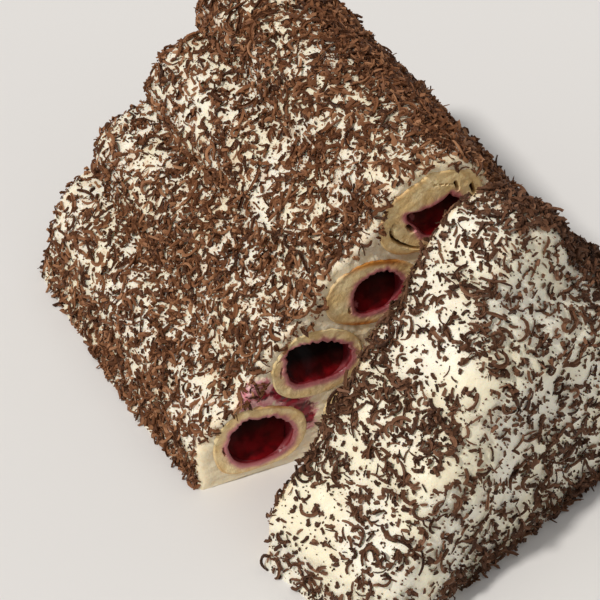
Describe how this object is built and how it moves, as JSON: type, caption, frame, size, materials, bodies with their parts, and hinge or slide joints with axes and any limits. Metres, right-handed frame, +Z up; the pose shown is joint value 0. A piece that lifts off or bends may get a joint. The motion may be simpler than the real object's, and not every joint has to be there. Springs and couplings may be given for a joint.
{
  "type": "monastery hut cake",
  "caption": "Roof-shaped cream cake of stacked cherry-filled dough tubes under sour cream and shaved chocolate, cut across with its end piece turned open.",
  "frame": {"origin": "middle of the bounding box at the level of the surface the cake stands on", "axes": "+Y along the long back piece towards its closed end, +Z up, +X to the right when looking along +Y"},
  "size_m": [0.1942, 0.239, 0.1276],
  "materials": {
    "cream": "whipped sour cream, warm white and softly glossy",
    "chocolate": "shaved dark and milk chocolate strewn over the cream, brown with a soft sheen",
    "dough": "baked short dough, pale inside with brown crust, matte",
    "cherries": "dark red baked cherries in their jelly, glossy and wet"
  },
  "bodies": {
    "root": {"cream_back": "cream", "cream_front": "cream", "dough_back_row1_1": "dough", "cherries_back_row1_1": "cherries", "dough_back_row1_2": "dough", "cherries_back_row1_2": "cherries", "dough_back_row1_3": "dough", "cherries_back_row1_3": "cherries", "dough_back_row1_4": "dough", "cherries_back_row1_4": "cherries", "dough_back_row2_1": "dough", "cherries_back_row2_1": "cherries", "dough_back_row2_2": "dough", "cherries_back_row2_2": "cherries", "dough_back_row2_3": "dough", "cherries_back_row2_3": "cherries", "dough_back_row3_1": "dough", "cherries_back_row3_1": "cherries", "dough_back_row3_2": "dough", "cherries_back_row3_2": "cherries", "dough_back_row4_1": "dough", "cherries_back_row4_1": "cherries", "dough_front_row1_1": "dough", "cherries_front_row1_1": "cherries", "dough_front_row1_2": "dough", "cherries_front_row1_2": "cherries", "dough_front_row1_3": "dough", "cherries_front_row1_3": "cherries", "dough_front_row1_4": "dough", "cherries_front_row1_4": "cherries", "dough_front_row2_1": "dough", "cherries_front_row2_1": "cherries", "dough_front_row2_2": "dough", "cherries_front_row2_2": "cherries", "dough_front_row2_3": "dough", "cherries_front_row2_3": "cherries", "dough_front_row3_1": "dough", "cherries_front_row3_1": "cherries", "dough_front_row3_2": "dough", "cherries_front_row3_2": "cherries", "dough_front_row4_1": "dough", "cherries_front_row4_1": "cherries"}
  },
  "joints": []
}
